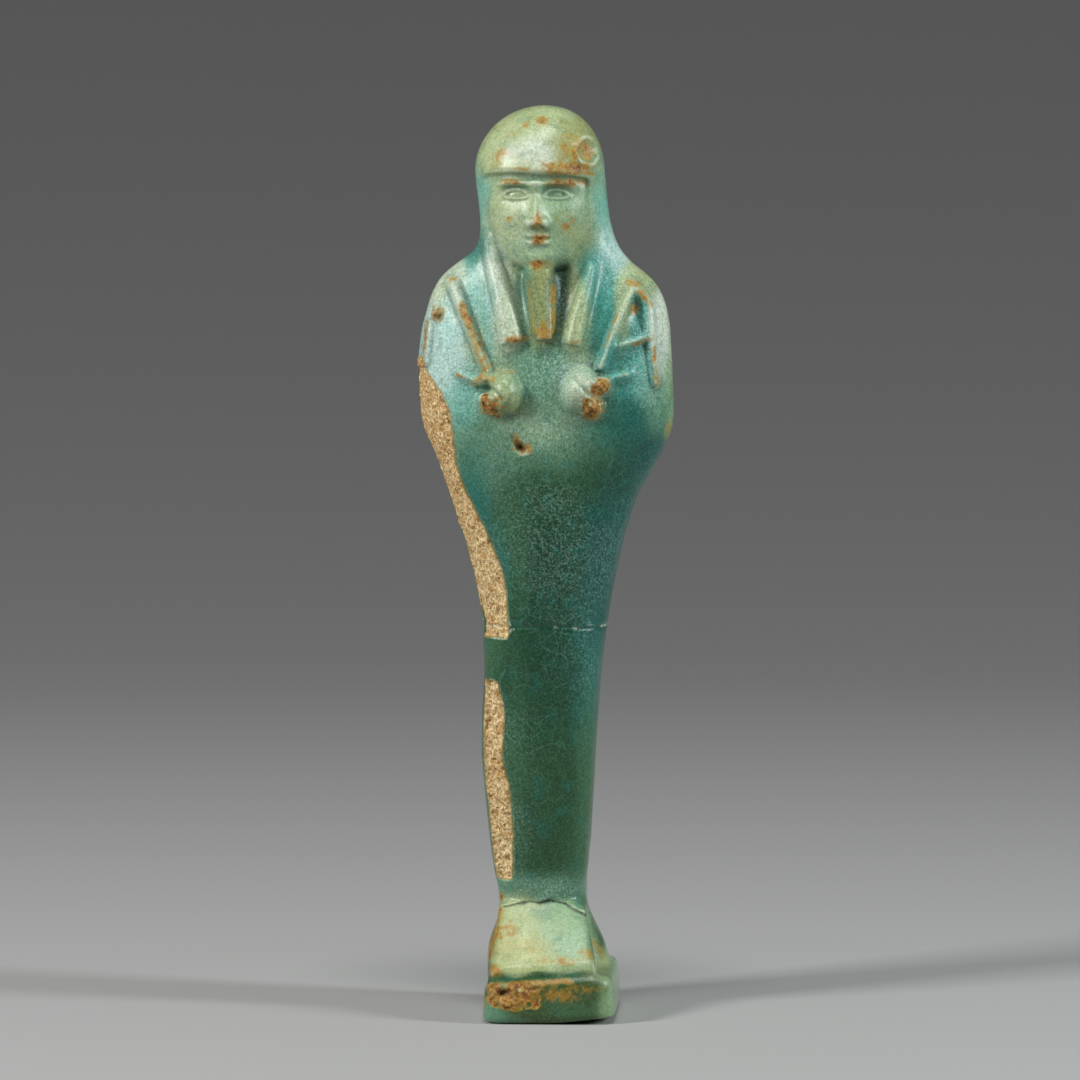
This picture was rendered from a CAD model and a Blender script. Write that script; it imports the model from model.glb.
"""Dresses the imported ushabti: one moulded figure, softened, worn and glazed, on a plain studio floor."""

import math

import bmesh
import bpy
import numpy as np
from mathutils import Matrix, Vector


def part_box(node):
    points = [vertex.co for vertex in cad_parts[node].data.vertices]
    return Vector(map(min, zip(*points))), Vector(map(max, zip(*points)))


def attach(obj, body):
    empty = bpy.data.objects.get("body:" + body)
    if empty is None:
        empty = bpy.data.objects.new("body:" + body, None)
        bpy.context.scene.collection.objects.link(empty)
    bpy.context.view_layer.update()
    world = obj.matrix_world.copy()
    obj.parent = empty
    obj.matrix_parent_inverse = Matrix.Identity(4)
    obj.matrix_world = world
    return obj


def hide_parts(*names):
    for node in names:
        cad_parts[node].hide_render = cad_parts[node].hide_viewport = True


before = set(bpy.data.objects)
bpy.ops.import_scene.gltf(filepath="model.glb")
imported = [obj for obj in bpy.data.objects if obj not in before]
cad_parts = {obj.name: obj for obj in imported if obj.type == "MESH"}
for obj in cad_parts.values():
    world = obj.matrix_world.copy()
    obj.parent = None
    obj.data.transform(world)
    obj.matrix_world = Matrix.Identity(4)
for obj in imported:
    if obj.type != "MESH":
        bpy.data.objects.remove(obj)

bl_info = {
    "name": "Ushabti figurine",
    "version": (1, 0, 0),
    "blender": (4, 5, 0),
    "location": "View3D > Sidebar > Ushabti",
    "description": "Makes a glazed faience ushabti around its CAD solid, and a studio for it",
    "category": "Object",
}

# ---- Sizes ----

MM = 0.001
NODE = "ushabti"
HIGH = Vector(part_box(NODE)[1]) / MM
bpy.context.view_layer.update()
AXIS_Y = 2.4  # the body's own axis lies this far behind the origin, as in the solid

# The face's midline: where it is at the brow, and how far it moves to +X for each millimetre down.
BROW_Z, FACE_X, FACE_LEAN = 118.9, -1.1, 0.05
EYE_X, EYE_Z = 2.85, 117.2
NOSE_Z, MOUTH_Z = 112.9, 110.9

# The groove under the wig's edge, across the brow.
WIG_EDGE = [(-8.0, 119.6), (-4.8, 119.85), (-1.1, 119.7), (3.0, 119.5), (6.0, 119.0)]

# The two flakes: the (z, x) knots of their front and rear edges, and how far back they reach.
AROUND = -30  # an edge so far out that the flake runs on round the side
FLAKES = [
    {
        "front": [
            (54.3, -5.0), (62.4, -5.6), (69.4, -8.3), (76.9, -12.1), (84.0, -13.1),
            (87.0, -13.6), (90.2, -15.5), (92.2, -16.9), (93.9, -17.6),
        ],
        "rear": [(54.3, AROUND), (93.9, AROUND)],
        "back": AXIS_Y + 1.3,
    },
    {
        "front": [(19.4, -4.6), (26.0, -4.5), (32.0, -4.9), (37.2, -6.0), (43.5, -5.7), (47.9, -6.6)],
        "rear": [(19.4, -6.9), (25.5, -7.6), (35.0, -8.5), (41.0, -8.7), (47.9, -8.5)],
        "back": AXIS_Y,
    },
]  # fmt: skip
OUTSIDE = -9.0  # stands for the reach of a point far from every flake

# Rounded bars that stand on the chest: the path of each (x, z), half its width at its start and at its end,
# and how far it is raised and rounded over the solid.
BARS = [
    ([(-8.3, 111.0), (-7.1, 106.6), (-5.8, 102.0), (-4.5, 96.5)], 1.0, 1.75, 0.45),
    ([(6.8, 107.0), (5.8, 103.2), (4.8, 99.5), (4.1, 96.3)], 0.8, 1.5, 0.45),
    ([(-13.1, 104.5), (-11.7, 101.3), (-8.3, 92.8)], 1.05, 0.75, 0.65),
    ([(12.7, 104.4), (10.9, 100.2), (8.2, 93.0)], 0.8, 0.75, 0.6),
    ([(12.8, 104.0), (14.6, 101.8), (15.1, 97.2), (15.9, 90.2)], 0.95, 0.6, 0.4),
    ([(9.7, 95.4), (15.0, 97.2)], 0.65, 0.65, 0.4),
    ([(-9.0, 90.6), (-12.1, 91.9)], 0.75, 0.65, 0.4),
    ([(9.2, 91.1), (12.3, 91.9)], 0.7, 0.65, 0.4),
    ([(-16.3, 98.7), (-16.9, 93.3)], 0.5, 0.5, 0.25),
    ([(-2.4, 105.0), (-1.2, 97.7)], 0.4, 0.4, 0.35),
    ([(1.35, 104.5), (1.4, 97.7)], 0.4, 0.4, 0.4),
]

# Swellings of the fists, and the small lump on the shoulder: middle (x, z), half sizes, turn and rise.
SWELLINGS = [
    (-5.2, 89.3, 2.3, 3.0, 0.15, 0.8),
    (-8.5, 91.2, 1.4, 0.8, -0.4, 0.45),
    (-7.4, 87.4, 2.0, 1.3, -0.7, 0.4),
    (4.9, 89.8, 2.3, 3.4, -0.35, 0.9),
    (8.2, 90.2, 1.8, 1.3, 0.6, 0.5),
    (6.8, 87.2, 1.8, 1.6, 0.6, 0.5),
    (-15.3, 100.2, 0.9, 0.85, 0.0, 0.4),
]

# Hollows between the forms: middle (x, z), reach each way, turn and depth.
HOLLOWS = [
    (2.6, 104.0, 0.9, 3.2, 0.0, 0.6),
    (2.7, 99.0, 0.6, 2.5, 0.0, 0.35),
    (-3.2, 103.5, 0.8, 3.2, 0.0, 0.45),
    (13.0, 100.6, 0.9, 1.6, 0.2, 0.55),
    (-7.0, 84.6, 3.0, 0.9, -0.5, 0.3),
    (6.5, 84.4, 2.6, 0.9, 0.3, 0.35),
    (9.3, 104.5, 1.2, 4.0, 0.3, 0.3),
]

# The wig's inner edges, beside the face.
WIG_SIDES = [
    [(-9.0, 118.6), (-8.5, 114.1), (-7.0, 110.6), (-4.4, 107.2)],
    [(6.7, 118.0), (7.0, 114.1), (6.1, 111.0), (3.2, 107.6)],
]

SEAM_Z = 55.7  # where the broken knee was glued
CRACK = [
    (-5.8, 15.6), (-3.8, 16.0), (-2.0, 16.3), (-0.6, 16.1), (0.8, 16.5),
    (3.1, 16.0), (4.4, 15.3), (5.9, 14.6), (6.7, 13.9),
]  # fmt: skip

# Oval spots, as middle (x, z), reach each way and turn.
BLISTER = (6.0, 123.2, 1.6, 2.0, 0.2)
BLISTER_HOLLOW = (6.2, 123.0, 1.1, 1.5, 0.3)
BLISTER_CORE = (6.1, 123.1, 1.0, 1.4, 0.3)
PIT = (-3.2, 81.4, 0.75, 0.6, -0.5)
PIT_DARK = (-3.0, 81.3, 0.6, 0.45, -0.5)
PIT_LIP = (-2.5, 80.6, 1.2, 0.6, 0.1)
PIT_TAIL = [(-4.3, 82.9), (-3.4, 81.8)]
PATCH = (-3.7, 3.9, 4.9, 1.9, 0.12)
PATCH_HOLE = (-5.4, 4.6, 0.75, 0.5, 0.2)
PATCH_DARK = (-5.4, 4.6, 0.7, 0.45, 0.2)
WORN_FISTS = [(-7.4, 87.4, 2.0, 1.2, -0.7), (8.3, 90.1, 1.6, 1.15, 0.6), (6.8, 87.1, 1.7, 1.5, 0.5)]
WIG_CORNERS = [(-9.0, 119.3, 2, 2), (7.2, 118.6, 2, 2)]
PLINTH_CORNERS = [(10.8, 8.6, 2.2, 2.6), (-10.0, 8.0, 1.6, 2.2)]
THUMB_CREASES = [[(-9.2, 89.6), (-7.2, 89.9), (-5.6, 88.4)], [(4.4, 91.6), (6.4, 89.2), (8.6, 88.2)]]
LAPPET_SIDE = [(7.6, 108.0), (6.2, 99.0)]

# ---- Colours, linear ----


def colour(red, green, blue):
    """A colour given as it looks on screen, 0 to 255, in linear light."""
    return tuple((c / 255) ** 2.2 for c in (red, green, blue))


MILK = colour(236, 242, 222)
CREAM = colour(220, 230, 200)
STRAW = colour(212, 208, 140)
LIME = colour(190, 202, 150)
BROWNED_LIME = colour(166, 172, 112)
SAGE = colour(160, 190, 150)
LEAF = colour(150, 182, 136)
ICE = colour(206, 234, 228)
AQUA = colour(132, 200, 184)
LAGOON = colour(84, 168, 156)
JADE = colour(110, 158, 130)
FERN = colour(70, 114, 80)
SEA = colour(26, 120, 112)
TEAL = colour(0, 92, 88)
PINE = colour(34, 76, 56)
MOSS = colour(46, 86, 56)
SLATE = colour(70, 90, 74)
OLIVE = colour(68, 86, 48)
OCHRE = colour(174, 136, 52)
RUST = colour(132, 84, 30)
AMBER = colour(200, 146, 74)
UMBER = colour(60, 34, 12)
SAND = colour(208, 164, 98)
PALE_SAND = colour(240, 212, 154)
BONE = colour(255, 244, 212)
GRIT = colour(128, 86, 42)

# Daubs of glaze over the front: the middle of each (x, z), how far it reaches each way, and its colour.
# Between them the colour runs smoothly from one to the next.
DAUBS = [
    (-1.0, 127.5, 5.0, 2.0, LIME), (-6.0, 124.5, 3.0, 3.0, LIME), (-2.0, 123.0, 3.0, 1.8, MILK),
    (4.5, 125.0, 3.0, 3.0, BROWNED_LIME), (-5.5, 121.0, 3.0, 1.2, LIME), (8.3, 121.5, 1.5, 3.0, SAGE),
    (-9.6, 116.0, 1.4, 4.0, AQUA), (8.7, 116.0, 1.4, 4.5, AQUA), (9.8, 110.3, 1.6, 2.5, ICE),
    (-9.3, 109.5, 1.6, 2.0, SEA), (8.0, 107.0, 1.6, 2.5, LAGOON), (-5.0, 113.5, 3.6, 4.0, LIME),
    (3.5, 113.5, 3.6, 4.0, SAGE), (4.5, 111.5, 2.0, 2.0, BROWNED_LIME), (-1.0, 110.0, 4.0, 1.5, SAGE),
    (-1.0, 118.9, 5.5, 0.6, SAGE), (-7.2, 107.0, 1.4, 3.0, MILK), (-5.0, 99.5, 1.6, 3.5, CREAM),
    (4.8, 99.5, 1.4, 4.0, LIME), (-0.2, 101.0, 1.3, 5.0, BROWNED_LIME), (2.2, 103.5, 0.9, 3.5, SLATE),
    (-2.8, 102.0, 0.8, 3.5, JADE), (-9.3, 102.5, 1.8, 4.5, AQUA), (-13.5, 99.0, 1.0, 4.0, AQUA),
    (-12.2, 102.5, 0.9, 2.5, MILK), (-10.0, 97.5, 0.9, 3.0, LIME), (7.6, 102.0, 1.6, 4.5, LAGOON),
    (11.2, 100.5, 0.8, 3.5, LIME), (12.8, 99.0, 1.0, 2.5, LAGOON), (-14.5, 104.5, 2.5, 2.0, CREAM),
    (14.8, 105.8, 2.5, 1.8, LIME), (-14.5, 94.5, 2.5, 4.5, ICE), (16.8, 98.5, 1.0, 5.5, MILK),
    (14.3, 92.0, 1.0, 3.0, AQUA), (12.3, 93.0, 2.2, 3.0, LAGOON), (16.3, 87.0, 1.6, 3.0, JADE),
    (18.2, 89.0, 0.7, 7.0, LEAF), (-6.0, 90.0, 2.2, 2.2, LIME), (-4.6, 87.6, 1.6, 1.4, BROWNED_LIME),
    (4.6, 90.2, 1.8, 2.6, CREAM), (0.0, 93.0, 4.5, 2.5, JADE), (-10.8, 88.5, 2.5, 3.0, AQUA),
    (0.0, 87.5, 3.0, 2.5, JADE), (8.5, 84.0, 4.3, 2.6, SEA), (0.0, 84.3, 6.5, 2.9, SAGE),
    (1.0, 80.5, 5.8, 2.3, JADE), (-7.5, 80.5, 3.6, 4.5, JADE), (8.0, 80.0, 4.3, 3.9, MOSS),
    (14.0, 80.0, 3.6, 4.5, TEAL), (0.0, 76.0, 7.2, 3.9, MOSS), (9.8, 70.0, 2.6, 7.8, TEAL),
    (1.0, 66.0, 5.8, 6.5, PINE), (-4.4, 67.0, 1.9, 9.1, FERN), (7.8, 60.0, 1.9, 6.5, TEAL),
    (0.0, 56.0, 5.8, 5.2, PINE), (0.0, 48.0, 5.8, 6.5, PINE), (6.3, 50.0, 1.9, 7.8, SEA),
    (0.0, 38.0, 4.3, 6.5, MOSS), (-4.0, 38.0, 1.4, 11.7, FERN), (6.2, 36.0, 1.2, 10.4, FERN),
    (1.0, 27.0, 4.3, 6.5, MOSS), (5.2, 24.0, 1.4, 5.2, FERN), (-8.6, 51.5, 1.7, 3.2, FERN),
    (-9.0, 35.0, 1.2, 15.6, FERN), (0.0, 18.5, 5.0, 1.3, JADE), (-3.5, 12.5, 2.6, 3.0, LIME),
    (-2.0, 10.0, 3.0, 1.5, STRAW), (3.5, 11.0, 3.0, 2.5, SAGE), (0.0, 8.6, 8.0, 0.8, LIME),
    (8.0, 11.0, 1.2, 3.5, MOSS), (-7.8, 11.0, 1.0, 3.5, MOSS), (0.0, 6.8, 8.0, 0.4, MOSS),
    (5.5, 4.5, 3.0, 1.8, OLIVE), (1.0, 1.0, 5.0, 1.3, OLIVE), (10.2, 4.5, 1.4, 3.5, LEAF),
    (8.6, 7.4, 2.0, 0.8, LIME), (4.0, 2.0, 2.5, 1.0, FERN), (-7.5, 0.8, 2.5, 1.0, JADE),
    (3.0, 13.5, 2.0, 1.5, LEAF), (-9.6, 76.0, 1.6, 5.0, SEA), (-6.0, 63.0, 1.2, 5.0, SEA),
    (-7.0, 55.0, 1.5, 3.0, FERN),
]  # fmt: skip

# The glaze round the sides and back, by height.
BACK_GLAZE = [
    (0, OLIVE), (6, OLIVE), (9, FERN), (17, JADE), (24, FERN), (50, SEA), (62, TEAL), (80, SEA),
    (96, SEA), (106, JADE), (116, AQUA), (122, SAGE), (130, LIME),
]  # fmt: skip

# Where the glaze is frosted with fine pale grains.
FROST = [
    (-10.0, 100.0, 5.0, 7.0, 1.0), (-13.0, 92.0, 4.5, 6.0, 0.9), (2.0, 92.0, 6.0, 5.0, 0.8),
    (10.0, 108.0, 3.0, 6.0, 1.0), (16.5, 97.0, 2.0, 7.0, 1.0), (0.0, 84.0, 6.0, 3.0, 0.7),
    (-1.0, 123.0, 7.0, 5.0, 0.5), (-4.0, 112.0, 5.0, 5.0, 0.7), (2.2, 102.0, 1.4, 4.0, 0.8),
    (0.0, 18.0, 6.0, 2.0, 0.6), (3.0, 10.0, 4.0, 3.0, 0.25), (14.5, 96.0, 4.0, 7.0, 0.9),
]  # fmt: skip

# ---- Small tools ----


def ramp(values, low, high):
    """0 below low and 1 above high, with a smooth rise between."""
    t = np.clip((values - low) / (high - low), 0, 1)
    return t * t * (3 - 2 * t)


def bump(distance, reach):
    """1 where the distance is 0, falling off smoothly over about `reach`."""
    return np.exp(-((distance / reach) ** 2))


def curve(knots, at):
    """A smooth curve through (place, value) knots, by the same rule as the solid's own curves."""
    place, value = np.array(knots, float).T
    slope = np.gradient(value, place)
    slope[1:-1] = (value[2:] - value[:-2]) / (place[2:] - place[:-2])
    i = np.clip(np.searchsorted(place, at, "right") - 1, 0, len(place) - 2)
    span = place[i + 1] - place[i]
    t = np.clip((at - place[i]) / span, 0, 1)
    return (
        (2 * t**3 - 3 * t**2 + 1) * value[i]
        + (t**3 - 2 * t**2 + t) * span * slope[i]
        + (-2 * t**3 + 3 * t**2) * value[i + 1]
        + (t**3 - t**2) * span * slope[i + 1]
    )


def lumps(points, size, seed):
    """Smooth noise from -1 to 1, with lumps about `size` mm across."""
    p = points / size + seed * 13.7
    cell = np.floor(p).astype(np.int64)
    t = p - cell
    t = t * t * (3 - 2 * t)
    total = np.zeros(len(p))
    for corner in np.ndindex(2, 2, 2):
        at = cell + corner
        mixed = at[:, 0] * 73856093 ^ at[:, 1] * 19349663 ^ at[:, 2] * 83492791
        mixed = (mixed ^ (mixed >> 13)) * 1274126177
        value = ((mixed ^ (mixed >> 16)) & 0xFFFF) / 32767.5 - 1
        total += value * np.prod(np.where(corner, t, 1 - t), axis=1)
    return total


def read(items, name, width, kind=np.float32):
    """One value of every item of a mesh, as rows of `width` numbers."""
    values = np.empty(len(items) * width, kind)
    items.foreach_get(name, values)
    return values.reshape(-1, width) if width > 1 else values


# ---- The figure's skin ----


class Skin:
    """A mesh as arrays, in mm: its points, their normals and its edges, with ways to rub and push them."""

    def __init__(self, mesh):
        self.mesh = mesh
        self.points = read(mesh.vertices, "co", 3).astype(float) / MM
        self.edges = read(mesh.edges, "vertices", 2, np.int32)
        self.joined = np.bincount(self.edges.ravel(), minlength=len(self.points))
        self.refresh()

    def refresh(self):
        """Writes the points back to the mesh, and reads its new normals."""
        self.mesh.vertices.foreach_set("co", (self.points * MM).astype(np.float32).ravel())
        self.mesh.update()
        self.normals = read(self.mesh.vertices, "normal", 3).astype(float)
        self.x, self.y, self.z = self.points.T
        self.front = ramp(-self.normals[:, 1], 0.05, 0.4)

    def average(self, values):
        """The mean of each point's neighbours."""
        if values.ndim == 2:
            return np.stack([self.average(column) for column in values.T], axis=1)
        a, b = self.edges.T
        count = len(self.points)
        total = np.bincount(a, values[b], count) + np.bincount(b, values[a], count)
        return total / self.joined

    def spread(self, values, rounds):
        """The values, blurred over the surface."""
        for _ in range(rounds):
            values = 0.5 * (values + self.average(values))
        return values

    def relax(self, rounds, weight):
        """Rubs the surface smooth where weight is 1, and leaves it where weight is 0."""
        weight = np.asarray(weight)[:, None]
        for _ in range(rounds):
            self.points += 0.8 * weight * (self.average(self.points) - self.points)
        self.refresh()

    def push(self, amount):
        """Moves each point out along its normal, in mm."""
        self.points += self.normals * amount[:, None]
        self.refresh()

    def lift(self, amount):
        """Moves each point that faces forwards towards the front, in mm."""
        self.points[:, 1] -= amount * self.front
        self.refresh()

    def beside_path(self, path):
        """How far each point is from a path of (x, z), seen from the front, and its share of the path."""
        nearest = np.full(len(self.points), np.inf)
        share = np.zeros(len(self.points))
        for i, ((x0, z0), (x1, z1)) in enumerate(zip(path, path[1:])):
            dx, dz = x1 - x0, z1 - z0
            t = np.clip(((self.x - x0) * dx + (self.z - z0) * dz) / (dx * dx + dz * dz), 0, 1)
            away = np.hypot(self.x - x0 - t * dx, self.z - z0 - t * dz)
            share = np.where(away < nearest, (i + t) / (len(path) - 1), share)
            nearest = np.minimum(nearest, away)
        return nearest, share

    def off_path(self, path):
        """How far each point is from a path of (x, z), seen from the front."""
        return self.beside_path(path)[0]

    def off_spot(self, x, z, wide, high, turn=0.0):
        """How far each point is from the middle of an oval, whose edge is at 1, seen from the front."""
        c, s = math.cos(turn), math.sin(turn)
        u, v = self.x - x, self.z - z
        return np.hypot((u * c + v * s) / wide, (v * c - u * s) / high)

    def keep(self, name, values):
        """Stores a value or a colour for each point, for the glaze to read."""
        if values.ndim == 1:
            kind, field, flat = "FLOAT", "value", values
        else:
            kind, field, flat = "FLOAT_COLOR", "color", np.hstack([values, np.ones((len(values), 1))]).ravel()
        self.mesh.attributes.new(name, kind, "POINT").data.foreach_set(field, flat.astype(np.float32))


def copy_of_node(name, new_name):
    """A new object with the node's mesh, its loose triangles merged."""
    made = bmesh.new()
    made.from_mesh(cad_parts[name].data)
    bmesh.ops.remove_doubles(made, verts=made.verts, dist=1e-6)
    mesh = bpy.data.meshes.new(new_name)
    made.to_mesh(mesh)
    made.free()
    piece = bpy.data.objects.new(new_name, mesh)
    bpy.context.scene.collection.objects.link(piece)
    return piece


def modified(piece, kind, **settings):
    """Adds one modifier and applies it."""
    modifier = piece.modifiers.new(kind.title(), kind)
    for key, value in settings.items():
        setattr(modifier, key, value)
    seen = piece.evaluated_get(bpy.context.evaluated_depsgraph_get())
    mesh = bpy.data.meshes.new_from_object(seen)
    piece.modifiers.clear()
    old, piece.data = piece.data, mesh
    bpy.data.meshes.remove(old)
    return mesh


# ---- Shaping ----


def quiet(skin):
    """1 on the plain stretches of the body, 0 on and near every carved edge."""
    turn = 1 - (skin.normals * skin.spread(skin.normals, 24)).sum(axis=1)
    edges = skin.spread(ramp(turn, 0.012, 0.05), 6)
    return 1 - ramp(edges, 0.02, 0.12)


def soften(skin):
    """Takes the facets off the body, and the knife edges off all that lies on it."""
    low_part = 1 - ramp(skin.z, 17, 20)
    plain = quiet(skin)
    skin.relax(6, np.ones(len(skin.points)))
    skin.relax(90, plain)
    skin.relax(30, low_part)
    skin.relax(60, sum(bump(skin.off_spot(*corner), 1) for corner in PLINTH_CORNERS))
    beard = ramp(skin.z, 97, 98) * (1 - ramp(skin.z, 104.5, 106)) * (1 - ramp(np.abs(skin.x), 2.6, 3.2))
    skin.relax(36, beard)
    hard = sum(bump(skin.off_path(edge), 1.1) for edge in [WIG_EDGE, *WIG_SIDES])
    corners = sum(bump(skin.off_spot(*corner), 1) for corner in WIG_CORNERS)
    skin.relax(16, np.minimum(hard, 1))
    skin.relax(30, corners)


def dome(distance):
    """1 at the middle of a rounded form, 0 at its edge and beyond."""
    return np.sqrt(np.maximum(0, 1 - distance**2))


def carving(skin):
    """Rounds and raises the bars and the fists, and sinks the hollows between them."""
    rise = np.zeros(len(skin.points))
    for path, start, end, height in BARS:
        away, share = skin.beside_path(path)
        rise = np.maximum(rise, height * dome(away / (start + (end - start) * share)))
    for x, z, wide, high, turn, height in SWELLINGS:
        rise = np.maximum(rise, height * dome(skin.off_spot(x, z, wide, high, turn)))
    for x, z, wide, high, turn, depth in HOLLOWS:
        rise -= depth * bump(skin.off_spot(x, z, wide, high, turn), 1)
    rise += 0.3 * bump(skin.off_path([(x, z + 0.9) for x, z in WIG_EDGE]), 0.7)
    return rise


def grooves(skin):
    """The groove under the wig's edge, and the softer ones down its inner edges."""
    brow = -0.42 * bump(skin.off_path(WIG_EDGE), 0.45)
    sides = -0.12 * sum(bump(skin.off_path(side), 0.5) for side in WIG_SIDES)
    return (brow + sides) * skin.front


def face_relief(skin):
    """The fine relief of the face, mirrored about its midline: brows, lids, nose and lips."""
    u = np.abs(skin.x - FACE_X - FACE_LEAN * (BROW_Z - skin.z))
    side, up = u - EYE_X, skin.z - EYE_Z
    eye = np.hypot(side / 1.75, (up + 0.05 * side**2) / 0.62)
    lid = 0.24 * bump(eye - 1, 0.22) * (1 + 0.8 * ramp(up, -0.2, 0.3))
    ball = 0.38 * bump(eye, 0.7)
    socket = -0.5 * bump(np.hypot(side / 2.3, (up - 0.35) / 1.15), 1)
    brow = 0.45 * bump(skin.z - BROW_Z + 0.05 + 0.04 * (u - 2.6) ** 2, 0.36)
    brow *= bump(np.maximum(0, u - 4.6), 0.7)
    brow += 0.25 * bump(u, 0.8) * bump(skin.z - BROW_Z + 0.5, 0.9)
    wing = 0.35 * bump(np.hypot(u - 1.15, (skin.z - NOSE_Z - 0.35) * 0.9), 0.55)
    nostril = -0.3 * bump(np.hypot(u - 0.6, (skin.z - NOSE_Z + 0.35) * 1.3), 0.3)
    mouth_line = skin.z - MOUTH_Z - 0.03 * u**2
    mouth = -0.3 * bump(mouth_line, 0.2) * (1 - ramp(u, 1.5, 2.1))
    lips = 0.2 * (bump(mouth_line - 0.5, 0.28) + bump(mouth_line + 0.55, 0.34)) * (1 - ramp(u, 1.0, 1.8))
    lids = socket + ball + lid
    inside = (1 - ramp(u, 5.8, 6.6)) * ramp(skin.z, 107, 108) * (1 - ramp(skin.z, 119.2, 119.6))
    return (lids + brow + wing + nostril + mouth + lips) * (inside * skin.front)


def fist_wear(skin):
    """1 on the high spots of the fists where the glaze has worn through to brown."""
    ragged = 0.25 * lumps(skin.points, 0.9, 30) + 0.12 * lumps(skin.points, 0.4, 31)
    nearest = np.min([skin.off_spot(*spot) for spot in WORN_FISTS], axis=0)
    return (1 - ramp(nearest + ragged, 0.75, 1.05)) * skin.front


def fist_relief(skin):
    """The worn high spots, rough and a little sunk, and the creases beside the thumbs."""
    rough = 0.14 * lumps(skin.points, 0.7, 32) + 0.1 * lumps(skin.points, 0.35, 33) - 0.22
    crease = -0.3 * sum(bump(skin.off_path(path), 0.3) for path in THUMB_CREASES)
    return fist_wear(skin) * rough + crease * skin.front


def flake_reach(skin):
    """How far inside a flake's outline each point lies, in mm, and less than 0 outside both of them."""
    reach = np.full(len(skin.points), OUTSIDE)
    for flake in FLAKES:
        z0, z1 = flake["front"][0][0], flake["front"][-1][0]
        across = np.minimum(curve(flake["front"], skin.z) - skin.x, skin.x - curve(flake["rear"], skin.z))
        inside = np.minimum(across, np.minimum(skin.z - z0, z1 - skin.z))
        behind = flake["back"] - skin.y + 0.5 * lumps(skin.points, 2.2, 16) + 0.2
        behind -= 1.2 * bump(skin.z - z0, 2.5) + 0.7 * bump(skin.z - z1, 2)
        reach = np.maximum(reach, np.minimum(inside, behind))
    return np.where(skin.x < -2, reach, OUTSIDE)


def flake_depth(skin):
    """1 inside each flake, falling to 0 across its ragged rim."""
    ragged = 0.16 * lumps(skin.points, 0.9, 3) + 0.1 * lumps(skin.points, 0.4, 4)
    return ramp(flake_reach(skin) + ragged, -0.05, 0.2)


def core_relief(skin, bare):
    """The broken core: gritty, with pores."""
    grit = 0.15 * lumps(skin.points, 0.8, 5) + 0.12 * lumps(skin.points, 0.42, 6)
    pores = -0.4 * ramp(lumps(skin.points, 0.6, 7), 0.4, 0.75)
    return bare * (grit + pores)


def accidents(skin):
    """What firing and time did to the surface: a burst blister, a pit, the glued seam and a crack."""
    ring = skin.off_spot(*BLISTER) + 0.1 * lumps(skin.points, 1.2, 8)
    blister = 0.42 * bump(ring - 0.95, 0.28) - 0.75 * bump(skin.off_spot(*BLISTER_HOLLOW), 0.8)
    hole = -1.0 * bump(skin.off_spot(*PIT), 1) - 0.35 * bump(skin.off_path(PIT_TAIL), 0.5)
    lip = 0.22 * bump(skin.off_spot(*PIT_LIP), 1)
    off_seam = skin.z - seam_height(skin)
    seam = -0.16 * bump(off_seam, 0.2) + 0.12 * bump(off_seam - 0.5, 0.35) * lumps(skin.points, 1.3, 10)
    crack = -0.3 * bump(skin.off_path(CRACK) + 0.1 * lumps(skin.points, 0.8, 11), 0.14)
    front = blister + hole + lip + crack
    return front * skin.front + seam


def worn_patch(skin):
    """1 on the pitted patch along the plinth's front edge, where the glaze has gone to brown."""
    patch = skin.off_spot(*PATCH) + 0.35 * lumps(skin.points, 1.5, 12)
    return (1 - ramp(patch, 0.75, 1.1)) * skin.front


def patch_relief(skin, patch):
    """The worn patch, rough and a little sunk, with one deeper hole."""
    rough = 0.22 * lumps(skin.points, 1.0, 13) + 0.2 * lumps(skin.points, 0.5, 14) - 0.2
    hole = -0.9 * bump(skin.off_spot(*PATCH_HOLE), 1) * skin.front
    return patch * rough + hole


def hand_made(skin):
    """The slow unevenness of a hand-pressed figure, and the ripple of its glaze."""
    calm = 1 - bump(skin.z, 2.0)
    return calm * (0.1 * lumps(skin.points, 9, 1) + 0.035 * lumps(skin.points, 2.2, 2))


def shape(skin):
    """Works the plain skin over, from the large forms down to the grit."""
    soften(skin)
    rise = carving(skin)
    skin.lift(rise)
    skin.relax(14, ramp(np.abs(skin.spread(rise, 4)), 0.0, 0.1))
    skin.relax(12, bump(skin.off_path(LAPPET_SIDE), 1.0))
    skin.push(hand_made(skin) + grooves(skin) + face_relief(skin) + fist_relief(skin) + accidents(skin))
    skin.push(core_relief(skin, flake_depth(skin)) + patch_relief(skin, worn_patch(skin)))


# ---- Painting ----


def raised_and_sunk(skin):
    """How far each point stands out of, or lies in, the surface around it."""
    out = ((skin.points - skin.spread(skin.points, 30)) * skin.normals).sum(axis=1)
    fine = ((skin.points - skin.spread(skin.points, 8)) * skin.normals).sum(axis=1)
    sunk = np.maximum(ramp(-out, 0.02, 0.2), 0.7 * ramp(-fine, 0.01, 0.06))
    return ramp(out, 0.02, 0.22) * 0.6 + ramp(fine, 0.01, 0.07) * 0.4, sunk


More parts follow.
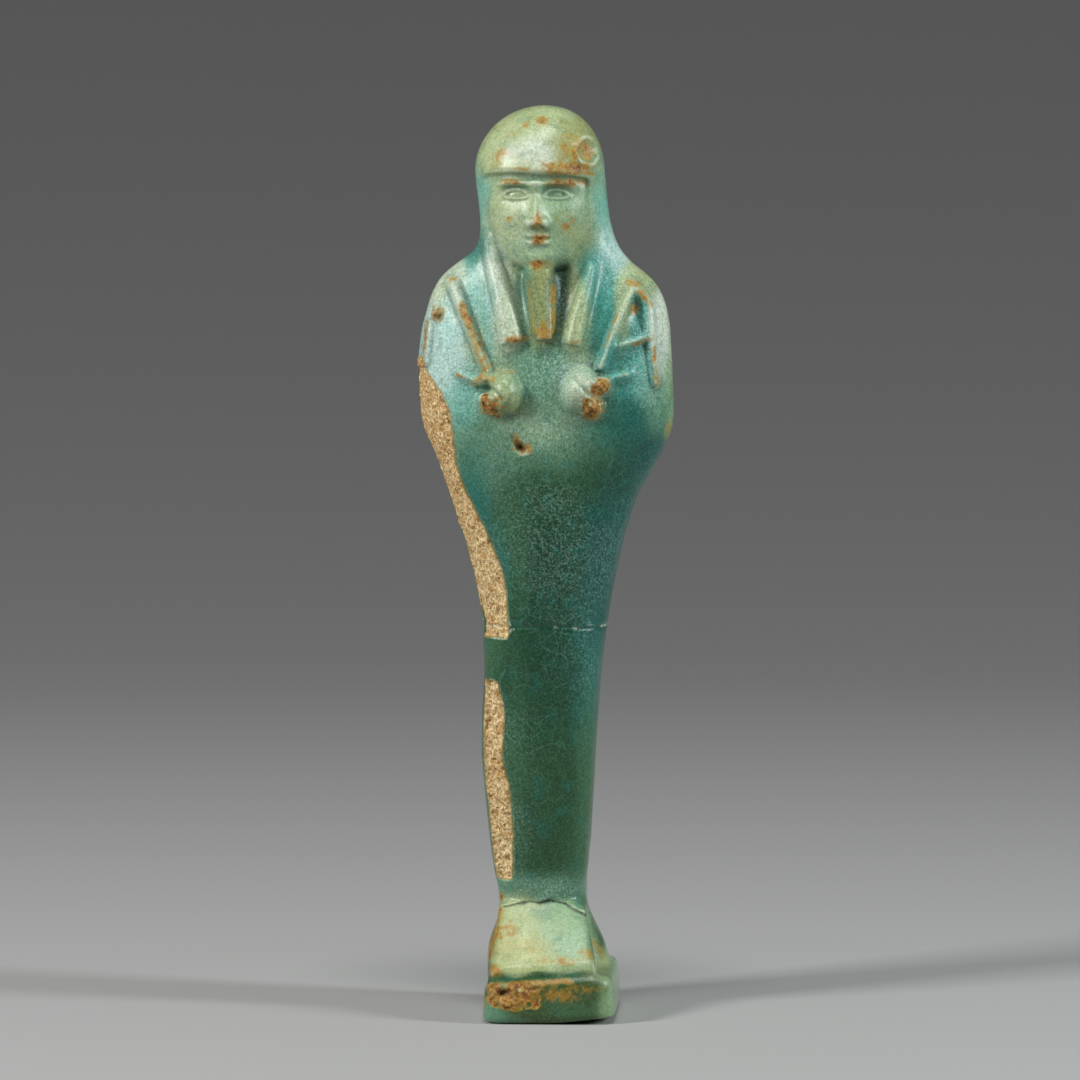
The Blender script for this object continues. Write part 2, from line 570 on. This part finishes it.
def tint(skin, bare):
    """The broad colour of the glaze at each point, with the brown rim it has round the bare flakes."""
    heights, colours = zip(*BACK_GLAZE)
    z = skin.z + 2.5 * lumps(skin.points, 9, 20)
    behind = np.stack([np.interp(z, heights, channel) for channel in zip(*colours)], axis=1)
    x = skin.x + 0.5 * lumps(skin.points, 3.5, 22)
    z = skin.z + 0.7 * lumps(skin.points, 3.5, 23)
    total = np.full(len(skin.points), 1e-3)
    front = behind * 1e-3
    for x0, z0, wide, high, shade in DAUBS:
        weight = np.exp(-(((x - x0) / wide) ** 2) - ((z - z0) / high) ** 2)
        front += weight[:, None] * np.array(shade)
        total += weight
    front /= total[:, None]
    dusty = ramp(skin.z, 118, 121) + (1 - ramp(skin.z, 13, 17)) * ramp(skin.z, 6, 8)
    dusty = 0.55 * dusty * ramp(lumps(skin.points, 1.9, 25) + 0.4 * lumps(skin.points, 0.8, 26), 0.0, 0.8)
    front += (np.array(BROWNED_LIME) - front) * dusty[:, None]
    facing = -skin.normals[:, 1] + 0.25 * lumps(skin.points, 5, 27)
    whole = behind + (front - behind) * ramp(facing, -0.75, 0.1)[:, None]
    rim = 0.9 * ramp(skin.spread(bare, 32) + 0.06 * lumps(skin.points, 1.6, 18), 0.06, 0.4)
    return whole + (np.array(OCHRE) - whole) * rim[:, None]


def frost(skin):
    """How thickly fine pale grains lie in the glaze at each point."""
    total = 0.25 * ramp(lumps(skin.points, 8, 24), -0.2, 0.6)
    for x, z, wide, high, amount in FROST:
        total = np.maximum(total, amount * bump(skin.off_spot(x, z, wide, high), 1) * skin.front)
    return total


# Iron stains: the middle of each spot (x, z), its reach each way and its strength.
RUST_SPOTS = [
    (-0.7, 113.3, 0.8, 1.2, 0.95), (-0.6, 110.9, 1.3, 0.9, 0.8), (-0.6, 107.3, 1.6, 0.6, 0.95),
    (3.0, 121.2, 3.8, 0.9, 0.75), (5.0, 121.0, 2.2, 0.9, 1.05), (4.3, 123.4, 2.3, 2.3, 0.55),
    (3.2, 124.8, 1.2, 1.0, 0.4), (-2.6, 126.9, 0.8, 0.6, 0.75), (-0.2, 127.5, 0.9, 0.7, 0.95),
    (-6.2, 122.5, 2.0, 1.6, 0.42), (-4.5, 125.5, 1.6, 1.0, 0.25), (-4.6, 118.9, 1.6, 0.5, 0.7),
    (3.6, 118.8, 3.0, 0.7, 0.9), (3.4, 113.0, 1.6, 1.6, 0.5), (-4.9, 113.6, 0.5, 0.5, 0.7),
    (-3.9, 96.7, 1.6, 0.6, 1.0), (4.4, 96.4, 1.5, 0.45, 0.45), (0.3, 97.8, 1.3, 1.4, 0.85),
    (-15.3, 100.2, 1.2, 1.1, 1.0), (12.7, 101.0, 0.6, 0.9, 0.9), (-8.3, 91.2, 1.5, 0.7, 0.85),
    (-5.6, 92.1, 1.6, 0.5, 0.5), (-7.3, 87.4, 2.3, 1.5, 0.6), (8.2, 90.1, 1.9, 1.4, 0.55),
    (6.9, 87.2, 1.9, 1.8, 0.6), (-3.9, 82.5, 0.6, 0.8, 0.7), (-2.9, 81.3, 1.3, 0.8, 0.85),
    (17.9, 82.5, 0.8, 3.0, 0.8), (14.6, 106.6, 1.8, 0.8, 0.45), (-5.2, 12.4, 1.6, 2.4, 0.5),
    (-2.0, 10.5, 2.5, 1.2, 0.3), (-6.8, 7.6, 1.4, 0.9, 0.7), (2.5, 9.0, 3.6, 0.7, 0.55),
    (6.0, 9.8, 1.6, 0.7, 0.5), (2.6, 4.4, 3.4, 1.1, 0.6), (6.5, 5.2, 3.0, 0.7, 0.4),
    (-8.4, 3.0, 0.6, 2.0, 0.6),
]  # fmt: skip

# Stains along a line: its path, reach and strength.
RUST_LINES = [
    ([(-11.6, 101.4), (-8.1, 92.8)], 0.75, 0.75),
    ([(-13.6, 105.0), (-12.8, 105.2)], 0.5, 0.6),
    ([(-16.8, 99.0), (-17.3, 93.0)], 0.35, 0.7),
    ([(11.9, 104.7), (13.2, 104.5)], 0.55, 0.65),
    ([(10.4, 100.2), (8.6, 95.5)], 0.3, 0.45),
    ([(13.7, 103.3), (15.0, 101.5)], 0.45, 0.75),
    ([(12.6, 95.9), (15.4, 96.9)], 0.35, 0.6),
    ([(15.5, 95.5), (16.1, 90.3)], 0.4, 0.65),
    ([(1.3, 104.0), (1.4, 97.8)], 0.4, 0.7),
    ([(-2.3, 105.0), (-1.2, 98.0)], 0.4, 0.5),
    ([(-9.6, 90.4), (-12.2, 91.7)], 0.4, 0.6),
    ([(-8.5, 5.3), (-3.0, 5.7), (4.0, 6.2)], 0.45, 0.7),
    ([(0.0, 120.5), (7.0, 120.1)], 0.5, 0.7),
    ([(-7.0, 120.9), (-2.0, 120.7)], 0.4, 0.35),
    ([(-6.5, 16.5), (-7.0, 13.0), (-8.2, 8.0)], 0.75, 0.95),
    ([(-8.9, 12.5), (-9.6, 7.0)], 0.5, 0.7),
    ([(7.5, 9.5), (9.8, 6.6)], 0.5, 0.45),
]


def rust(skin, bare):
    """Iron stains: on what stands out, along worn edges, and where the body bled through."""
    total = np.zeros(len(skin.points))
    for x, z, wide, high, amount in RUST_SPOTS:
        total = np.maximum(total, amount * bump(skin.off_spot(x, z, wide, high), 1))
    for path, reach, amount in RUST_LINES:
        total = np.maximum(total, amount * bump(skin.off_path(path), reach))
    return total * skin.front * (1 - bare)


def beside_forms(skin):
    """1 in the narrow trough round each raised bar, where the glaze ran down and lies deep."""
    trough = np.zeros(len(skin.points))
    inside = np.zeros(len(skin.points))
    for path, start, end, _ in BARS:
        away, share = skin.beside_path(path)
        out = away - (start + (end - start) * share)
        trough = np.maximum(trough, bump(np.maximum(0, out - 0.15), 0.35))
        inside = np.maximum(inside, 1 - ramp(out, -0.15, 0.15))
    return trough * (1 - inside) * skin.front


def glue(skin):
    """1 on the beads of old glue along the seam."""
    beads = ramp(lumps(skin.points * (1, 1, 0), 0.7, 15), 0.0, 0.25)
    return 0.8 * beads * bump(skin.z - seam_height(skin), 0.12)


def seam_height(skin):
    """How high the glued seam lies, which wanders a little."""
    return SEAM_Z + 0.25 * lumps(skin.points * (1, 1, 0), 2.5, 9)


def paint(skin):
    """Stores the glaze's tint, and the masks that tell where it is worn, pooled, stained, cracked or gone."""
    bare = flake_depth(skin)
    patch = worn_patch(skin)
    worn, pooled = raised_and_sunk(skin)
    blister_core = 1 - ramp(skin.off_spot(*BLISTER_CORE) + 0.25 * lumps(skin.points, 0.7, 21), 0.75, 1.0)
    blister_core *= skin.front
    dark = np.maximum(bump(skin.off_spot(*PIT_DARK), 1), bump(skin.off_spot(*PATCH_DARK), 1))
    dark = np.maximum(dark, 0.9 * bump(skin.off_path(CRACK) + 0.1 * lumps(skin.points, 0.8, 11), 0.11))
    skin.keep("tint", tint(skin, bare))
    skin.keep("frost", frost(skin))
    skin.keep("worn", worn * (1 - bare) * (0.35 + 0.65 * ramp(-skin.normals[:, 1], -0.3, 0.2)))
    blister_ring = 0.5 * bump(skin.off_spot(*BLISTER) - 0.72, 0.16) * skin.front
    pooled = np.max([pooled, 0.75 * beside_forms(skin), blister_ring], axis=0)
    skin.keep("pooled", pooled * (1 - bare))
    browned = np.max([patch, 1.05 * fist_wear(skin), 0.9 * blister_core], axis=0)
    pitted = browned * (0.95 - 0.55 * lumps(skin.points, 0.6, 14) - 0.35 * lumps(skin.points, 0.35, 17))
    skin.keep("rust", np.maximum(rust(skin, bare), pitted) * (1 - bare))
    skin.keep("bare", np.maximum(bare, 0.3 * blister_core))
    skin.keep("dark", dark * skin.front)
    skin.keep("glue", glue(skin))


# ---- Glaze ----

SHINE = 0.42  # how strongly the glaze reflects
RIPPLE = 0.045 * MM  # how deep its fine ripple is


class Mixer:
    """Short ways to add the nodes of one material."""

    def __init__(self, name):
        self.material = bpy.data.materials.new(name)
        self.material.use_nodes = True
        self.tree = self.material.node_tree
        self.shader = self.tree.nodes["Principled BSDF"]
        self.place = self.tree.nodes.new("ShaderNodeTexCoord").outputs["Object"]

    def node(self, kind, inputs, **settings):
        """Adds a node. An input is either a value or another node's output."""
        made = self.tree.nodes.new(kind)
        for key, value in settings.items():
            setattr(made, key, value)
        for key, value in inputs.items():
            if isinstance(value, bpy.types.NodeSocket):
                self.tree.links.new(value, made.inputs[key])
            else:
                made.inputs[key].default_value = value
        return made

    def stored(self, name, output="Fac"):
        """What the mesh keeps under a name."""
        return self.node("ShaderNodeAttribute", {}, attribute_name=name).outputs[output]

    def height(self):
        """How high each place is, in metres."""
        return self.node("ShaderNodeSeparateXYZ", {"Vector": self.place}).outputs["Z"]

    def noise(self, size, detail=2.0, shift=0, rough=0.5):
        """Noise from 0 to 1 with lumps about `size` mm across. Another shift gives another pattern."""
        place = self.node("ShaderNodeMapping", {"Vector": self.place, "Location": (shift * MM,) * 3})
        inputs = {"Vector": place.outputs[0], "Scale": 1 / (size * MM), "Detail": detail, "Roughness": rough}
        return self.node("ShaderNodeTexNoise", inputs).outputs["Fac"]

    def cells(self, size):
        """How far each place is from the edges of wandering cells about `size` mm across."""
        inputs = {"Vector": self.place, "Scale": 0.7 / (size * MM), "Detail": 0.0}
        wander = self.node("ShaderNodeTexNoise", inputs).outputs["Color"]
        inputs = {0: wander, "Scale": 0.5 * size * MM}
        moved = self.node("ShaderNodeVectorMath", inputs, operation="SCALE").outputs[0]
        place = self.node("ShaderNodeVectorMath", {0: self.place, 1: moved}, operation="ADD").outputs[0]
        inputs = {"Vector": place, "Scale": 1 / (size * MM)}
        return self.node("ShaderNodeTexVoronoi", inputs, feature="DISTANCE_TO_EDGE").outputs["Distance"]

    def range(self, value, low, high, to_low=0.0, to_high=1.0):
        """Moves values from one range to another, smoothly, and holds them inside it."""
        inputs = {"Value": value, "From Min": low, "From Max": high, "To Min": to_low, "To Max": to_high}
        return self.node("ShaderNodeMapRange", inputs, interpolation_type="SMOOTHSTEP").outputs["Result"]

    def sum(self, a, b):
        return self.node("ShaderNodeMath", {0: a, 1: b}, operation="ADD").outputs[0]

    def times(self, a, b):
        return self.node("ShaderNodeMath", {0: a, 1: b}, operation="MULTIPLY").outputs[0]

    def mix(self, amount, a, b, blend="MIX"):
        """Colour a, with b laid over it by the amount."""
        made = self.node("ShaderNodeMix", {0: amount}, data_type="RGBA", blend_type=blend)
        for index, value in ((6, a), (7, b)):
            if isinstance(value, bpy.types.NodeSocket):
                self.tree.links.new(value, made.inputs[index])
            else:
                made.inputs[index].default_value = (*value, 1.0)
        return made.outputs[2]


def glaze_colour(mixer, grain, mottle):
    """The glaze over the stored tint: speckled, pale where worn, deep where pooled, and stained with iron."""
    worn, pooled, stain, frosted = (mixer.stored(name) for name in ("worn", "pooled", "rust", "frost"))
    tinted = mixer.stored("tint", "Color")
    greener = mixer.range(mottle, 0.52, 0.72, 0.0, 0.3)
    tinted = mixer.mix(greener, tinted, BROWNED_LIME, "MULTIPLY")
    bluer = mixer.range(mixer.noise(2.6, 2.0, shift=7), 0.55, 0.7, 0.0, 0.3)
    tinted = mixer.mix(bluer, tinted, SEA)
    tinted = mixer.mix(mixer.times(pooled, 0.5), tinted, TEAL)
    tinted = mixer.mix(crackle(mixer), tinted, AQUA)
    pale = mixer.range(mixer.sum(worn, mixer.times(mottle, 0.5)), 0.45, 1.2, 0.0, 0.8)
    tinted = mixer.mix(pale, tinted, CREAM)
    height = mixer.height()
    calm_feet = mixer.range(height, 15 * MM, 22 * MM, 0.6)
    calm_head = mixer.range(height, 110 * MM, 102 * MM, 0.7)
    calm = mixer.times(calm_feet, calm_head)
    shade = mixer.times(mixer.range(grain, 0.66, 0.34, 0.0, 0.62), calm)
    tinted = mixer.mix(shade, tinted, FERN, "MULTIPLY")
    glint = mixer.range(mixer.noise(0.3, 4.0, shift=3, rough=0.8), 0.47, 0.64)
    tinted = mixer.mix(mixer.times(glint, 0.35), tinted, FERN, "SCREEN")
    tinted = mixer.mix(mixer.times(glint, mixer.times(frosted, 0.65)), tinted, ICE)
    flecks = mixer.range(mixer.noise(0.75, 3.0, shift=13, rough=0.65), 0.3, 0.7, -0.28, 0.28)
    ragged = mixer.sum(mixer.range(mottle, 0.3, 0.7, -0.2, 0.2), flecks)
    stain = mixer.sum(stain, mixer.times(ragged, mixer.range(stain, 0.02, 0.4)))
    tinted = mixer.mix(mixer.range(stain, 0.05, 0.75, 0.0, 0.8), tinted, OCHRE)
    stained = mixer.range(stain, 0.4, 1.15, 0.0, 0.95)
    scale = mixer.noise(0.55, 4.0, shift=17, rough=0.75)
    rusty = mixer.mix(mixer.range(scale, 0.46, 0.64), RUST, AMBER)
    rusty = mixer.mix(mixer.range(scale, 0.5, 0.34), rusty, UMBER)
    tinted = mixer.mix(stained, tinted, rusty)
    return mixer.mix(mixer.range(stain, 1.3, 1.8), tinted, UMBER), stained


def crackle(mixer):
    """A fine net of cracks in the glaze, over the belly and the shins only."""
    height = mixer.height()
    low, high = mixer.range(height, 20 * MM, 40 * MM), mixer.range(height, 86 * MM, 76 * MM)
    edge = mixer.range(mixer.cells(1.9), 0.05, 0.01)
    patchy = mixer.range(mixer.noise(5.0, 1.0, shift=11), 0.4, 0.62, 0.05, 0.15)
    return mixer.times(mixer.times(low, high), mixer.times(edge, patchy))


def core_colour(mixer, mottle):
    """The sandy core: pale quartz grit with brown grains and dark pores, dirtier towards the shoulder."""
    clean = mixer.range(mixer.height(), 92 * MM, 48 * MM, 0.45, 1.0)
    sandy = mixer.mix(mixer.times(clean, mixer.range(mottle, 0.3, 0.55)), SAND, PALE_SAND)
    grains = mixer.noise(0.38, 4.0, shift=5, rough=0.8)
    sandy = mixer.mix(mixer.range(grains, 0.58, 0.38, 0.0, 0.85), sandy, GRIT)
    sandy = mixer.mix(mixer.range(grains, 0.52, 0.66, 0.0, 0.7), sandy, BONE)
    pores = mixer.range(mixer.noise(0.5, 3.0, shift=9, rough=0.6), 0.37, 0.3)
    return mixer.mix(pores, sandy, UMBER), pores


def glaze():
    """The one material of the whole figure: glaze, stains, bare core, dirt and old glue."""
    mixer = Mixer("glazed_faience")
    grain, mottle = mixer.noise(0.36, 4.0, rough=0.8), mixer.noise(1.7, 3.0)
    bare, dark = mixer.stored("bare"), mixer.stored("dark")
    glazed, stained = glaze_colour(mixer, grain, mottle)
    sandy, pores = core_colour(mixer, mottle)
    whole = mixer.mix(bare, glazed, sandy)
    whole = mixer.mix(dark, whole, UMBER)
    whole = mixer.mix(mixer.stored("glue"), whole, CREAM)
    mixer.tree.links.new(whole, mixer.shader.inputs["Base Color"])
    mixer.shader.inputs["Specular IOR Level"].default_value = SHINE
    gloss = mixer.range(grain, 0.3, 0.7, 0.07, 0.22)
    gloss = mixer.sum(gloss, mixer.times(stained, 0.45))
    dulled = mixer.sum(mixer.stored("worn"), mixer.stored("pooled"))
    gloss = mixer.sum(gloss, mixer.times(dulled, 0.32))
    gloss = mixer.sum(gloss, mixer.times(bare, 0.6))
    mixer.tree.links.new(gloss, mixer.shader.inputs["Roughness"])
    height = mixer.sum(grain, mixer.times(mottle, 0.8))
    height = mixer.sum(height, mixer.times(mixer.times(pores, bare), -1.5))
    lift = mixer.node("ShaderNodeBump", {"Strength": 1.0, "Distance": RIPPLE, "Height": height})
    mixer.tree.links.new(lift.outputs[0], mixer.shader.inputs["Normal"])
    return mixer.material


# ---- Stage ----

# In metres: the floor's sweep up into its wall, and the wall's top.
SWEEP, SWEEP_STEPS, WALL_TOP = 1.3, 40, 2.2

# The camera: degrees round from the front and up, distance, lens in mm and the point it looks at.
CAMERA = (3.0, 4.0, 0.8, 186.9, (-0.75 * MM, 0, 67.9 * MM))

# The lights: place, size and colour.
SOFTBOXES = {
    "key": ((-0.5, -0.34, 0.42), (0.13, 0.18), (1, 1, 1)),
    "side": ((0.56, -0.14, 0.3), (0.08, 0.24), (0.92, 0.98, 1.0)),
    "top": ((0.02, -0.24, 0.76), (0.24, 0.14), (1, 1, 1)),
}
LIT_SHARE = 0.52  # the lights point at this share of the figure's height
SKY = (0.9, 0.93, 1.0, 1.0)


def plain(name, shade, rough):
    """A material of one colour."""
    mixer = Mixer(name)
    mixer.shader.inputs["Base Color"].default_value = (*shade, 1.0)
    mixer.shader.inputs["Roughness"].default_value = rough
    return mixer.material


def floor(radius, wall):
    """A round floor that curves up into a low wall all round, turned from one profile."""
    made = bmesh.new()
    turns = [math.pi / 2 * step / SWEEP_STEPS for step in range(SWEEP_STEPS + 1)]
    outline = [(0.0, 0.0), (radius * 0.5, 0.0)]
    outline += [(radius + SWEEP * math.sin(t), SWEEP * (1 - math.cos(t))) for t in turns]
    outline += [(radius + SWEEP, wall)]
    verts = [made.verts.new((r, 0, z)) for r, z in outline]
    edges = [made.edges.new(pair) for pair in zip(verts, verts[1:])]
    bmesh.ops.spin(
        made, geom=verts + edges, axis=(0, 0, 1), cent=(0, 0, 0), steps=96, angle=2 * math.pi, use_merge=True,
    )  # fmt: skip
    bmesh.ops.remove_doubles(made, verts=made.verts, dist=1e-5)
    bmesh.ops.recalc_face_normals(made, faces=made.faces)
    for face in made.faces:
        face.smooth = True
    mesh = bpy.data.meshes.new("studio_floor")
    made.to_mesh(mesh)
    made.free()
    piece = bpy.data.objects.new("studio_floor", mesh)
    bpy.context.scene.collection.objects.link(piece)
    return piece


def softbox(name, aim, power):
    """A soft rectangular light that the camera doesn't see."""
    place, size, shade = SOFTBOXES[name]
    lamp = bpy.data.lights.new(name, "AREA")
    lamp.shape, lamp.size, lamp.size_y = "RECTANGLE", size[0], size[1]
    lamp.energy, lamp.color = power, shade
    holder = bpy.data.objects.new(name, lamp)
    holder.location = place
    holder.rotation_euler = (Vector(aim) - Vector(place)).to_track_quat("-Z", "Y").to_euler()
    holder.visible_camera = False
    bpy.context.scene.collection.objects.link(holder)


def camera(azimuth, elevation, distance, lens, aim):
    """The scene's camera, which looks at `aim`."""
    a, e = math.radians(azimuth), math.radians(elevation)
    back = Vector((math.sin(a) * math.cos(e), -math.cos(a) * math.cos(e), math.sin(e)))
    holder = bpy.data.objects.new("camera", bpy.data.cameras.new("camera"))
    holder.data.lens, holder.data.sensor_width = lens, 36
    holder.data.clip_start, holder.data.clip_end = 0.01, 20
    holder.location = Vector(aim) + back * distance
    holder.rotation_euler = (-back).to_track_quat("-Z", "Y").to_euler()
    bpy.context.scene.collection.objects.link(holder)
    bpy.context.scene.camera = holder


# ---- Add-on ----


class UshabtiSettings(bpy.types.PropertyGroup):
    """How fine the figure's mesh is"""

    voxel: bpy.props.FloatProperty(
        name="Voxel",
        description="Size of the grid that the surface is first rebuilt on",
        default=0.2 * MM,
        unit="LENGTH",
        precision=5,
    )
    triangles: bpy.props.IntProperty(
        name="Triangles", description="How many triangles the finished figure has", default=190000
    )


class UshabtiStageSettings(bpy.types.PropertyGroup):
    """The floor and the lights"""

    floor_radius: bpy.props.FloatProperty(
        name="Floor radius",
        description="Where the floor starts to curve up",
        default=0.5,
        unit="LENGTH",
    )
    floor_colour: bpy.props.FloatVectorProperty(
        name="Floor",
        description="Colour of the floor",
        default=(0.42, 0.42, 0.41),
        subtype="COLOR",
    )
    key_power: bpy.props.FloatProperty(
        name="Key",
        description="Power of the main light, on the figure's right",
        default=3.4,
        unit="POWER",
    )
    side_power: bpy.props.FloatProperty(
        name="Side",
        description="Power of the tall light on the figure's left",
        default=2.4,
        unit="POWER",
    )
    top_power: bpy.props.FloatProperty(
        name="Top",
        description="Power of the light above",
        default=2.1,
        unit="POWER",
    )
    ambient: bpy.props.FloatProperty(
        name="Ambient",
        description="Strength of the light all round",
        default=0.08,
    )


class USHABTI_OT_figure(bpy.types.Operator):
    """Make the glazed figure in place of its CAD solid"""

    bl_idname = "ushabti.figure"
    bl_label = "Make the figure"

    def execute(self, context):
        settings = context.scene.ushabti
        piece = copy_of_node(NODE, "glazed_figure")
        modified(piece, "REMESH", mode="VOXEL", voxel_size=settings.voxel, adaptivity=0.0)
        skin = Skin(piece.data)
        shape(skin)
        paint(skin)
        half = sum(len(polygon.vertices) - 2 for polygon in piece.data.polygons)
        mesh = modified(piece, "DECIMATE", ratio=min(1.0, settings.triangles / half))
        mesh.polygons.foreach_set("use_smooth", np.ones(len(mesh.polygons), bool))
        mesh.materials.clear()
        mesh.materials.append(glaze())
        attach(piece, "root")
        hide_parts(NODE)
        return {"FINISHED"}


class USHABTI_OT_stage(bpy.types.Operator):
    """Make the floor, the lights and the camera"""

    bl_idname = "ushabti.stage"
    bl_label = "Make the stage"

    def execute(self, context):
        settings = context.scene.ushabti_stage
        middle = (0, 0, LIT_SHARE * HIGH.z * MM)
        ground = floor(settings.floor_radius, WALL_TOP)
        ground.data.materials.append(plain("studio_floor", settings.floor_colour, 0.9))
        softbox("key", middle, settings.key_power)
        softbox("side", middle, settings.side_power)
        softbox("top", middle, settings.top_power)
        world = bpy.data.worlds.new("studio")
        world.use_nodes = True
        background = world.node_tree.nodes["Background"]
        background.inputs["Color"].default_value = SKY
        background.inputs["Strength"].default_value = settings.ambient
        context.scene.world = world
        context.scene.view_settings.view_transform = "Standard"
        camera(*CAMERA)
        return {"FINISHED"}


class USHABTI_PT_panel(bpy.types.Panel):
    """The settings and the two steps, in the sidebar"""

    bl_label = "Ushabti"
    bl_idname = "USHABTI_PT_panel"
    bl_space_type = "VIEW_3D"
    bl_region_type = "UI"
    bl_category = "Ushabti"

    def draw(self, context):
        for settings, operator in (("ushabti", USHABTI_OT_figure), ("ushabti_stage", USHABTI_OT_stage)):
            box = self.layout.box()
            group = getattr(context.scene, settings)
            for name in group.__annotations__:
                box.prop(group, name)
            box.operator(operator.bl_idname)


CLASSES = (UshabtiSettings, UshabtiStageSettings, USHABTI_OT_figure, USHABTI_OT_stage, USHABTI_PT_panel)


def register():
    for item in CLASSES:
        bpy.utils.register_class(item)
    bpy.types.Scene.ushabti = bpy.props.PointerProperty(type=UshabtiSettings)
    bpy.types.Scene.ushabti_stage = bpy.props.PointerProperty(type=UshabtiStageSettings)


def unregister():
    del bpy.types.Scene.ushabti
    del bpy.types.Scene.ushabti_stage
    for item in reversed(CLASSES):
        bpy.utils.unregister_class(item)


def main():
    register()
    bpy.ops.ushabti.figure()
    bpy.ops.ushabti.stage()


if __name__ == "__main__":
    main()
